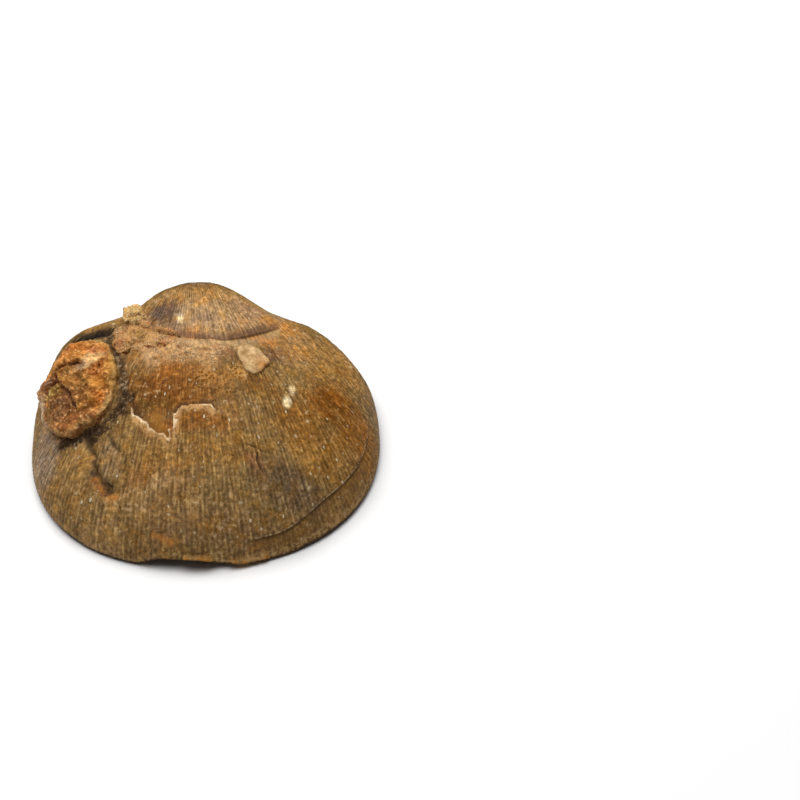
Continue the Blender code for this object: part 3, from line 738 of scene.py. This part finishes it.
def petrified_shell(place):
    """Brown shell turned to stone: streaked along its ribs, with painted shade in its grooves, and flecked
    with calcite that is painted bright as glints.
    """
    mark = place.mark
    out, rib, rough, soot, crystals = mark("out"), mark("rib"), mark("rough"), mark("soot"), mark("crystals")
    past_edge, edge_light_share, behind_lip, past_band = (
        mark(name) for name in ("past_edge", "edge_light_share", "behind_lip", "past_band"))
    round_it = place.round_shell()
    mottle = place.noise(210, 5, 0.65)
    patches = place.noise(420, 4, 0.65)
    grit = place.noise(1300, 3, 0.75)
    specked = grit - 0.5
    streaks = place.vector(round_it * RIBS * 0.9, out * 0.22).noise(1, 3, 0.8)
    broad_streaks = place.vector(round_it * RIBS * 0.3, out * 0.12).noise(1, 2)

    # The stained ground, warmer and cooler in patches, with painted shade in the grooves between the ribs and
    # painted light on their crests.
    colour = (patches.ramp(0.5, 0.64) * 0.7).tint(place.stained(), (1.1, 0.94, 0.55))
    colour = (patches.ramp(0.5, 0.36) * 0.8).tint(colour, (1.02, 1.07, 1.22))
    colour = (streaks.ramp(0.5, 0.3) * 0.7).tint(colour, (1.1, 0.92, 0.6))
    colour = (rib.ramp(0.2, -0.8) * 0.5).tint(colour, (1.12, 0.94, 0.72))
    ribbed = out.ramp(2.0, 16.0)
    uneven = (1.0 + 1.2 * ribbed) * (streaks - 0.5) + 0.7 * (broad_streaks - 0.5) + 3.2 * specked
    uneven = uneven + 0.9 * (mottle - 0.5) + 0.3 * rib * patches.ramp(0.7, 0.35)
    colour = colour.scaled(place.maths("POWER", 2.72, uneven))
    crest = streaks.ramp(0.52, 0.68) * grit.ramp(0.42, 0.6)
    glint_cluster = place.noise(160, 3).ramp(0.5, 0.64)
    glint_dot = place.cells(520) + 0.16 * place.cell_kinds(520) + 1.1 * specked
    # Light streaks, then cream dots alone and in clusters: calcite specks painted bright as glints.
    colour = layered(
        colour,
        (crest * 0.35, (206, 170, 112)),
        (glint_cluster * grit.ramp(0.56, 0.68) * 0.5, (206, 180, 138)),
        (glint_dot.ramp(0.16, 0.06) * 0.55, (226, 200, 158)),
    )

    # The rough and pitted ground in front of the lip, and the soot and grey crystals beside the crust.
    scabs = place.noise(520, 4, 0.7)
    curl = place.curls()
    granular = scabs.ramp(0.34, 0.6).mix((132, 86, 42), (206, 162, 110))
    granular = (place.noise(330, 2).ramp(0.5, 0.64) * 0.45).mix(granular, (192, 124, 86))
    rings = place.cells(2100)
    pitted = mark("pitted") * mottle.ramp(0.35, 0.6)
    colour = layered(
        colour,
        (rough * 0.75, granular.scaled(1 + 2.6 * specked)),
        (rough * curl * 0.4, (236, 200, 152)),
        (rough * scabs.ramp(0.46, 0.3) * 0.5, (104, 58, 30)),
        (pitted * rings.ramp(0.4, 0.65) * 0.45, (206, 160, 96)),
        (pitted * rings.ramp(0.3, 0.1) * 0.6, (80, 46, 18)),
        (soot * scabs.ramp(0.7, 0.5) * 0.9, grit.ramp(0.5, 0.7).mix((48, 34, 26), (132, 110, 84))),
        (crystals.ramp(0.2, 0.8) * 0.8, grit.ramp(0.5, 0.68).mix((62, 46, 34), (150, 132, 104))),
    )

    # The outer layer's broken edge: a tan band and a cream line along its crest, both painted highlight, and
    # a painted shadow under it.
    lit_edge = past_edge.ramp(-0.1, 0.02) * (past_edge - 0.9 * specked).ramp(0.45, 0.15)
    tan_edge_highlight = past_edge.ramp(-0.1, 0.1) * (past_edge - 1.4 * (patches - 0.5)).ramp(1.5, 0.7)
    edge_shadow = past_edge.ramp(-1.1, -0.1) * past_edge.ramp(0.0, -0.1)
    # The lip, with a mauve band that is also painted shade on its step, a painted shadow line at its foot and
    # a painted highlight on the ledge in front of it; and the growth step near the margin, with painted shade
    # along the step.
    lip_band = behind_lip.ramp(-0.1, 0.15) * behind_lip.ramp(1.4, 0.4) * mottle.ramp(0.3, 0.5)
    lip_shadow_line = behind_lip.ramp(-0.35, -0.1) * behind_lip.ramp(0.2, 0.0) * patches.ramp(0.3, 0.5)
    beads = past_band.ramp(-0.55, -0.3) * past_band.ramp(-0.02, -0.14) * grit.ramp(0.4, 0.6)
    step_shade = past_band + 0.5 * (patches - 0.5)
    colour = layered(
        colour,
        (tan_edge_highlight * edge_light_share * grit.ramp(0.3, 0.5), (198, 152, 98)),
        (lit_edge * patches.ramp(0.4, 0.56) * edge_light_share, (248, 226, 188)),
        (mark("chip") * 0.6, (160, 106, 36)),
        (edge_shadow * edge_light_share * 0.8, (66, 38, 18)),
        (lip_band * 0.6, (112, 82, 70)),
        (lip_shadow_line * 0.75, (74, 46, 30)),
        # Painted highlight on the pale ledge in front of the lip.
        (behind_lip.ramp(-2.6, -1.2) * behind_lip.ramp(-0.2, -0.6) * 0.3, (206, 176, 134)),
        (mark("band") * 0.45, (118, 82, 38)),
        (beads * 0.75, (204, 176, 134)),
        (step_shade.ramp(-0.15, 0.1) * step_shade.ramp(0.7, 0.2) * 0.6, (74, 48, 22)),
    )

    # The rim with a painted highlight, painted shade under the margin, the scars low on the dome with painted
    # shade on the pit's walls and painted glints along pale lines, calcite flecks painted bright as glints,
    # pits, and cracks with the slot painted black as shadow.
    glint_places = place.vector(round_it * RIBS * 0.9, out * 0.7)
    glint_fleck = (glint_places.cells(1) + 0.9 * specked).ramp(0.24, 0.1) * glint_places.cell_kinds(1).ramp(0.92, 0.95)
    pits = place.cells(900).ramp(0.2, 0.08) * place.noise(330, 2).ramp(0.56, 0.64)
    colour = layered(
        colour,
        (mark("rim") * grit.ramp(0.4, 0.56) * 0.6, (184, 148, 100)),
        (mark("under") * 0.75, (58, 38, 22)),
        (mark("flared") * patches.ramp(0.4, 0.54) * 0.7, (184, 122, 46)),
        (mark("rust") * grit.ramp(0.3, 0.5) * 0.75, (198, 122, 52)),
        (mark("pale") * grit.ramp(0.5, 0.64) * 0.4, (196, 174, 144)),
        (mark("pit_side").ramp(0.1, 0.8) * patches.ramp(0.66, 0.44) * 0.85, (62, 44, 28)),
        (glint_fleck * 0.75, (236, 220, 188)),
        (pits * 0.6, (52, 36, 22)),
        (mark("crack").ramp(0.3, 0.9) * 0.7, (30, 22, 16)),
    )

    bare = mark("bare")
    roughness = 0.52 + 0.2 * (streaks - 0.5) + 0.25 * specked - 0.12 * glint_fleck - 0.1 * bare + 0.12 * soot
    growth = place.vector(round_it * 6.0, out * 2.4).noise(1, 3)
    height = 0.1 * grit + 0.1 * streaks + 0.07 * growth + 0.03 * glint_fleck - 0.1 * pits
    height = height + rough * (0.2 * scabs + 0.16 * curl) - 0.1 * pitted * rings.ramp(0.5, 0.1)
    specks = place.noise(3400, 2, 0.6)
    height = height + 0.2 * bare * place.noise(600, 3) + 0.3 * (crystals + soot) * specks
    return colour, roughness, height


upper_valve.data.materials.append(stone_material(petrified_shell))
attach(upper_valve, "root")
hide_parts("brachiopod_fossil")

# ---- The lower valve ----
# The other valve, sunk into the first so that the underside is hollow. Fine ribs fan out from its own beak as
# far as a broken edge. Past it are crystals of calcite, and brown stone fills the gap at the rim.

UNDER_PLATE_STEP = 0.5
UNDER_PLATE_REACH = 25.0
LOWER_RIBS = 180
LOWER_COLUMNS = LOWER_RIBS * 4
LOWER_ROWS = 60
LOWER_RIB_HEIGHT = 0.08
LOWER_THICKNESS = 0.6
LOWEST_FRONT, LOWEST_BACK = 0.15, 0.5

lower_turns = np.linspace(0, 1, LOWER_COLUMNS + 1)
lower_ends = margin_points(lower_turns[:-1])
foot_line = closed(lower_ends + (MARGIN_INSET + FOOT_WIDTH - 0.5) * -outward(lower_ends))
lower_ends = closed(lower_ends)
inner = np.linspace(0, 1, LOWER_ROWS)[:, None, None]
plan = foot_line[None] * (1 - inner) + np.array(UNDER_BEAK) * inner
x, y = plan[..., 0], plan[..., 1]
inner = inner[..., 0]
from_beak = np.hypot(x - UNDER_BEAK[0], y - UNDER_BEAK[1])
ragged = UNDER_PLATE_REACH + 1.6 * grain(x, y, 0.35, 21) + 0.5 * grain(x, y, 1.4, 22)
plate = smooth_step(ragged - from_beak, 0, 0.25)
plate *= smooth_step(UNDER_BEAK[0] + 0.24 * (UNDER_BEAK[1] - y) + 1.2 * grain(x, y, 0.4, 23) - x, -0.1, 0.15)
fan = rib_wave(lower_turns * LOWER_RIBS, 1 - inner) * plate
calcite = (1 - plate) * smooth_step(inner, 0.1, 0.2) * (1 - smooth_step(inner, 0.94, 0.98))
height = hollow_height(x, y) + margin_lift(lower_ends) * (1 - inner) ** 4
height += -UNDER_PLATE_STEP * plate + LOWER_RIB_HEIGHT * fan
height += calcite * (0.5 * grain(x, y, 0.7, 24) + 0.25 * grain(x, y, 2.2, 25))
height += (1 - plate) * (0.25 * grain(x, y, 0.5, 26)) * (1 - smooth_step(inner, 0.9, 0.98))
front = np.stack([x, y, np.maximum(height, LOWEST_FRONT)], axis=-1)
back = front[::-12] + np.array([0, 0, LOWER_THICKNESS])
back[:, :, 2] = np.maximum(back[:, :, 2], LOWEST_BACK)
rim = front[:1] + np.array([0, 0, LOWER_THICKNESS / 2])
lower_places = closed(np.concatenate([rim, front, back[1:]])[:, :-1], 1)


def lower_mark(values):
    hidden = np.zeros((len(lower_places) - len(values) - 1, values.shape[1]))
    return np.concatenate([values[:1], values, hidden])


at_rim = 1 - smooth_step(inner * np.ones_like(x), 0.05, 0.14)
lower_marks = {"plate": plate, "calcite": calcite, "rib": fan, "out": from_beak, "rim": at_rim}
lower_marks = {mark: lower_mark(values) for mark, values in lower_marks.items()}
lower_valve = valve_object("lower_valve", lower_places, lower_marks)


def underside_stone(place):
    """The ribbed lower valve, grey and cream calcite past its broken edge, and brown stone inside the rim."""
    calcite = place.mark("calcite")
    mottle = place.noise(240, 5, 0.65)
    grit = place.noise(2200, 3, 0.7)
    shards = place.noise(620, 3, 0.6)
    along_ribs = place.vector(place.round_shell() * LOWER_RIBS * 0.6, place.mark("out") * 0.3)
    streaks = along_ribs.noise(1, 4, 0.6)
    matrix = mottle.ramp(0.35, 0.7).mix((112, 84, 52), (166, 124, 74))
    ribbed = streaks.ramp(0.3, 0.72).mix((104, 80, 50), (172, 136, 88))
    # Painted shade in the grooves between the ribs.
    ribbed = (place.mark("rib").ramp(0.2, -0.8) * 0.5).mix(ribbed, (78, 58, 34))
    crystal = shards.ramp(0.36, 0.6).mix((70, 60, 50), (146, 130, 106))
    crystal = shards.ramp(0.6, 0.72).mix(crystal, (212, 198, 172))
    colour = layered(
        matrix,
        (place.mark("plate"), ribbed),
        (calcite * mottle.ramp(0.4, 0.56), crystal),
        (place.mark("rim") * 0.6, (158, 104, 50)),
        (grit.ramp(0.5, 0.28) * 0.4, (64, 46, 28)),
        (grit.ramp(0.55, 0.75) * 0.3, (224, 204, 170)),
    )
    roughness = 0.55 - 0.25 * calcite * shards + 0.2 * (grit - 0.5)
    height = 0.06 * grit + 0.06 * streaks + 0.4 * calcite * shards
    return colour, roughness, height


lower_valve.data.materials.append(stone_material(underside_stone))
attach(lower_valve, "root")

# ---- The orange crust ----
# A knobbly crust, rich in iron, that grew onto the left flank after death. It is wrinkled and cracked, with a
# pale rim where it thins out, and is bonded to the shell beneath it.

CRUST_AT = (-20.6, 1.8)
CRUST_RADII = (8.3, 8.4, 9.1, 8.6, 8.7, 8.0, 6.8, 6.8, 7.7, 8.8, 9.2, 8.9)
CRUST_THICKNESS = 2.3
# Cracks, folds and stains in the crust, from its middle.
CRUST_CRACKS = (
    ((1.8, 3), (0.7, 3.5), (-0.6, 3.6), (-2.1, 4.4), (-3.1, 4.4), (-3.4, 3.5), (-3.3, 2.4), (-2.1, 0.7),
     (-1.1, -0.9), (-0.5, -1.9), (0.3, -3.6), (0.7, -4.7)),
    ((-3.3, 2.4), (-4, 1.9), (-4.8, 1)),
)
CRUST_FOLDS = (
    ((-2.6, 3.4), (-2.4, 1.8), (-1, 0.8), (0.6, 1), (1.4, 2.2)),
    ((-0.9, -0.2), (0.6, -0.6), (1.2, -1.8)),
    ((2.6, -0.2), (3.6, -1.2), (4.8, -1.8), (5.8, -1.8)),
    ((3.6, -1.6), (4.2, -2.8), (5.6, -3), (6.6, -3), (7.2, -2.4)),
    ((3.4, -3.6), (4.4, -4.6), (3.6, -5.6), (1.6, -5.6)),
    ((4.6, 5.6), (5.2, 3.8), (6.4, 2.4), (6.6, 0.6)),
    ((-4.4, 5), (-2.6, 5.9), (-0.6, 5.2)),
)
RUST_BROWN = (138, 82, 34)
CRUST_STAINS = (
    (3, 6, 3.8, 2.6, (190, 124, 58), 0.9),
    (4.4, 4.8, 1.2, 0.9, (182, 106, 62), 0.8),
    (-1.5, 6.6, 3, 1.6, (200, 118, 48), 0.85),
    (-4.6, 5.2, 1.6, 1.6, (196, 128, 54), 0.75),
    (3.4, 3, 2.2, 1.2, (236, 196, 136), 0.7),
    (1.6, 2.4, 1.3, 1, (150, 124, 104), 0.75),
    (-1.2, 2.4, 1.8, 1.2, (138, 94, 42), 0.8),
    (-4.6, 3, 0.9, 1, (104, 68, 64), 0.85),
    (-3.6, 0.4, 1.5, 1.2, (150, 122, 56), 0.8),
    (5.6, 0.8, 1.8, 1.6, (168, 98, 42), 0.75),
    (5.2, -2.2, 1.8, 1.2, (200, 122, 44), 0.8),
    (5.8, -4.2, 1.6, 1.4, (184, 102, 26), 0.9),
    (7.6, 0, 0.9, 4, (152, 110, 46), 0.75),
    (6.6, -5.4, 1, 2, (176, 138, 84), 0.6),
    (-1, -3.4, 3.2, 2.4, (124, 84, 50), 0.85),
    (2.6, -3.6, 1.8, 1.4, (132, 84, 40), 0.7),
    (-3.4, -5.6, 2.6, 1.4, (152, 104, 64), 0.7),
    (1.5, -7.4, 3.6, 1.3, (166, 106, 60), 0.8),
    (-6.4, -2.6, 1.2, 4.4, (220, 188, 154), 0.9),
    (-6, 2.6, 1.2, 2, (180, 118, 56), 0.6),
)


def dome_normal(x, y):
    step = 0.05
    slope_x = (dome_height(x + step, y) - dome_height(x - step, y)) / (2 * step)
    slope_y = (dome_height(x, y + step) - dome_height(x, y - step)) / (2 * step)
    normal = np.stack([-slope_x, -slope_y, np.ones_like(slope_x)], axis=-1)
    return normal / np.linalg.norm(normal, axis=-1, keepdims=True)


def draped_lump(name, at, radii, sides, rings, rise_at, ragged=0.0, steepness=0.45, sunk=1.5):
    """A lump that follows the shell it sits on: half a ball above it and half sunk in it."""
    bm = bmesh.new()
    bmesh.ops.create_uvsphere(bm, u_segments=sides, v_segments=rings, radius=1)
    ball = np.array([vert.co[:] for vert in bm.verts])
    out = np.minimum(np.hypot(ball[:, 0], ball[:, 1]), 1.0)
    turn = np.arctan2(ball[:, 1], ball[:, 0]) % (2 * np.pi)
    reach = out ** 0.8 * np.interp(turn, np.linspace(0, 2 * np.pi, len(radii) + 1), (*radii, radii[0]))
    turn_x, turn_y = np.cos(turn), np.sin(turn)
    reach *= 1 + ragged * (grain(turn_x, turn_y, 3.0, 61) + 0.2 * grain(turn_x, turn_y, 7))
    across, along = reach * turn_x, reach * turn_y
    side_slope = dome_normal(np.array(at[0]), np.array(at[1]))[2]
    x, y = at[0] + across * side_slope, at[1] + along
    crown = np.abs(ball[:, 2]) ** steepness
    rise, marks = rise_at(x, y, across, along, out)
    rise = np.where(ball[:, 2] > 0, rise * crown, -sunk * crown)
    places = np.column_stack([x, y, dome_height(x, y)]) + dome_normal(x, y) * rise[:, None]
    shape(bm, places, marks, range(len(places)))
    bmesh.ops.recalc_face_normals(bm, faces=bm.faces)
    return piece_from(bm, name)


def crust_rise(x, y, across, along, out):
    """Wrinkles and cracks in the crust."""
    twist = 0.5 * grain(across, along, 0.5, 33)
    crack = np.clip(scored(across + twist, along, 0.22, STRAIGHT, CRUST_CRACKS), 0, 1)
    fold = np.clip(scored(across + twist, along - twist, 0.42, STRAIGHT, CRUST_FOLDS), 0, 1)
    wrinkles = 1 - 3 * np.abs(grain(across + 2 * twist, along, 0.75, 34))
    rise = CRUST_THICKNESS - 0.05 * across - 0.1 * np.maximum(across, 0) - 0.1 * np.maximum(along - 3, 0)
    rise += 0.8 * grain(x, y, 0.4, CRUST_THICKNESS) + 0.28 * wrinkles
    rise += 0.4 * grain(x, y, 1.0, 31) + 0.22 * grain(x, y, 2.4, 32) + 0.35 * fold - 0.6 * crack
    marks = {"crack": crack, "fold": fold, "edge": smooth_step(out, 0.86, 0.98), "wrinkles": wrinkles}
    marks.update(stain_colour(across, along, RUST_BROWN, CRUST_STAINS))
    return rise, marks


orange_crust = draped_lump(
    "orange_crust", CRUST_AT, CRUST_RADII, 240, 120, crust_rise, ragged=0.09, steepness=0.25)


def iron_crust(place):
    """Orange, rust and ochre in patches, with cream highlights, dark cracks and a pale rim."""
    mottle = place.noise(480, 5, 0.7)
    grit = place.noise(1900, 4, 0.75)
    colour = (mottle.ramp(0.5, 0.7) * 0.35).mix(place.stained(), (220, 154, 76))
    colour = colour.scaled(place.maths("POWER", 2.72, 2.4 * (mottle - 0.5) + 3.6 * (grit - 0.5)))
    colour = layered(
        colour,
        (place.noise(260, 2).ramp(0.55, 0.68) * 0.4, (146, 112, 54)),
        (place.mark("fold") * mottle.ramp(0.35, 0.6) * 0.45, (218, 158, 76)),
        (place.mark("wrinkles").ramp(0.1, -0.9) * 0.45, (104, 56, 26)),
        (grit.ramp(0.56, 0.66) * 0.55, (244, 212, 156)),
        (place.mark("edge") * mottle.ramp(0.4, 0.6) * 0.5, (196, 160, 100)),
        (place.mark("crack").ramp(0.25, 0.8) * 0.7, (72, 34, 22)),
    )
    roughness = 0.5 + 0.25 * (grit - 0.5) - 0.15 * mottle
    height = 0.14 * grit + 0.5 * mottle + 0.2 * place.noise(1100, 3)
    return colour, roughness, height


orange_crust.data.materials.append(stone_material(iron_crust))
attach(orange_crust, "root")

# ---- Bits of bedrock ----
# Lumps of the reddish limestone that the shell was buried in: a knob and two low ridges beside the umbo,
# which were left on when the fossil was cleaned. They are cemented to the shell.

LOW_ROCK = 1.0  # rock thinner than this is redder


def rock_rise(thickness, rough):
    """The lumpy top of a piece of rock this thick."""
    def rise_at(x, y, across, along, out):
        rise = thickness + rough * grain(x, y, 0.4, thickness) + 0.5 * rough * grain(x, y, 1.1, 41)
        rise += 0.22 * rough * grain(x, y, 2.6, 42)
        return rise, {"low": np.full_like(out, thickness < LOW_ROCK)}
    return rise_at


def bedrock(place):
    """Pinkish tan limestone with ochre and grey grains."""
    mottle = place.noise(520, 5, 0.7)
    grit = place.noise(1900, 4, 0.75)
    patches = place.noise(240, 2)
    curl = place.curls()
    colour = layered(
        mottle.ramp(0.3, 0.56).mix((160, 112, 54), (236, 194, 126)),
        (curl * 0.5, (244, 210, 158)),
        (patches.ramp(0.5, 0.62) * 0.5, (196, 122, 82)),
        (patches.ramp(0.46, 0.36) * 0.4, (160, 136, 66)),
    )
    colour = (place.mark("low") * 0.8).tint(colour, (0.72, 0.56, 0.5))
    colour = layered(
        colour,
        (grit.ramp(0.54, 0.7) * 0.5, (240, 208, 160)),
        (mottle.ramp(0.44, 0.32) * 0.6, (96, 58, 32)),
    )
    return colour, 0.62 + 0.3 * (grit - 0.5), 0.16 * grit + 0.5 * mottle + 0.2 * curl


rock = stone_material(bedrock)
ROCKS = (
    ("stone_knob", (-11.2, 13.9), (2.2, 2.0, 2.2, 2.0, 2.2, 3.0), 2.4, 1.0),
    ("stone_ridge", (-11.8, 10.2), (3.2, 2.6, 2.8, 2.8, 4.4, 2.8), 0.45, 0.9),
    ("stone_patch", (-7.2, 7.4), (3.4, 1.6, 1.7, 2.8, 1.9, 1.9), 0.15, 0.5),
)
for name, at, radii, thickness, rough in ROCKS:
    lump = draped_lump(name, at, radii, 100, 50, rock_rise(thickness, rough), ragged=0.3, steepness=0.7)
    lump.data.materials.append(rock)
    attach(lump, "root")

# ---- The pale crust ----
# A small angular scab of cream limestone on the crest, thinner than a coin, with an orange corner. It is
# bonded to the shell beneath it.

PALE_THICKNESS = 0.9
PALE_CORNER = (1.6, -1.2)
PALE_AT = (8.8, 2.0)
PALE_RADII = (2.75, 2.2, 2.3, 2.65, 3.75, 3.2, 2.5, 2.2, 2.8, 3.0, 2.6, 2.2)


def pale_rise(x, y, across, along, out):
    rise = PALE_THICKNESS + 0.5 * grain(x, y, 0.4, PALE_THICKNESS)
    rise += 0.16 * grain(x, y, 1.3, 51) + 0.08 * grain(x, y, 3.0, 52)
    return rise, {"orange": hump(np.hypot(across - PALE_CORNER[0], along - PALE_CORNER[1]), 0.9)}


def cream_limestone(place):
    """Cream and tan grains, with an orange corner."""
    mottle = place.noise(500, 5, 0.65)
    grit = place.noise(2100, 3, 0.7)
    colour = layered(
        mottle.ramp(0.35, 0.65).mix((166, 128, 80), (226, 188, 136)),
        (place.mark("orange") * 0.7, (196, 122, 52)),
        (grit.ramp(0.54, 0.72) * 0.3, (222, 194, 148)),
        (grit.ramp(0.46, 0.3) * 0.5, (122, 88, 50)),
    )
    return colour, 0.6 + 0.2 * (grit - 0.5), 0.1 * grit + 0.2 * mottle


pale_crust = draped_lump("pale_crust", PALE_AT, PALE_RADII, 96, 40, pale_rise)
pale_crust.data.materials.append(stone_material(cream_limestone))
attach(pale_crust, "root")

# ---- The table and the lights ----
# A plain white table under one wide soft light, which hangs above the shell, a little behind it and to the
# left. The camera looks half way down onto the shell from the front.

TABLE_HALF_SIZE = 3
TABLE_WHITE, TABLE_ROUGHNESS = (0.92, 0.92, 0.92, 1), 0.8
SOFTBOX_AT, SOFTBOX_SIZE, SOFTBOX_WATTS = (-0.08, 0.14, 0.75), 0.8, 9.0
ROOM_WHITE, ROOM_LIGHT = (1, 1, 1, 1), 0.05
CAMERA_AT, CAMERA_AIM = (0.0200, -0.3168, 0.3272), (0.03377, 0.01318, 0.0)
LENS_LENGTH = 119.1


def aimed(name, data, at, aim):
    """A light or a camera at one place, turned towards another."""
    made = linked(name, data)
    made.location = at
    made.rotation_euler = (Vector(aim) - Vector(at)).to_track_quat("-Z", "Y").to_euler()
    return made


bm = bmesh.new()
bmesh.ops.create_grid(bm, x_segments=1, y_segments=1, size=TABLE_HALF_SIZE)
table = piece_from(bm, "table")
white = bpy.data.materials.new("white_table")
white.use_nodes = True
paint = white.node_tree.nodes["Principled BSDF"].inputs
paint["Base Color"].default_value = TABLE_WHITE
paint["Roughness"].default_value = TABLE_ROUGHNESS
table.data.materials.append(white)

softbox = bpy.data.lights.new("overhead_softbox", "AREA")
softbox.size, softbox.energy = SOFTBOX_SIZE, SOFTBOX_WATTS
aimed("overhead_softbox", softbox, SOFTBOX_AT, (0, 0, 0))
studio = bpy.data.worlds.new("studio")
studio.use_nodes = True
room = studio.node_tree.nodes["Background"].inputs
room["Color"].default_value = ROOM_WHITE
room["Strength"].default_value = ROOM_LIGHT
bpy.context.scene.world = studio
bpy.context.scene.view_settings.view_transform = "Standard"

lens = bpy.data.cameras.new("camera")
lens.lens, lens.clip_start = LENS_LENGTH, 0.01
bpy.context.scene.camera = aimed("camera", lens, CAMERA_AT, CAMERA_AIM)
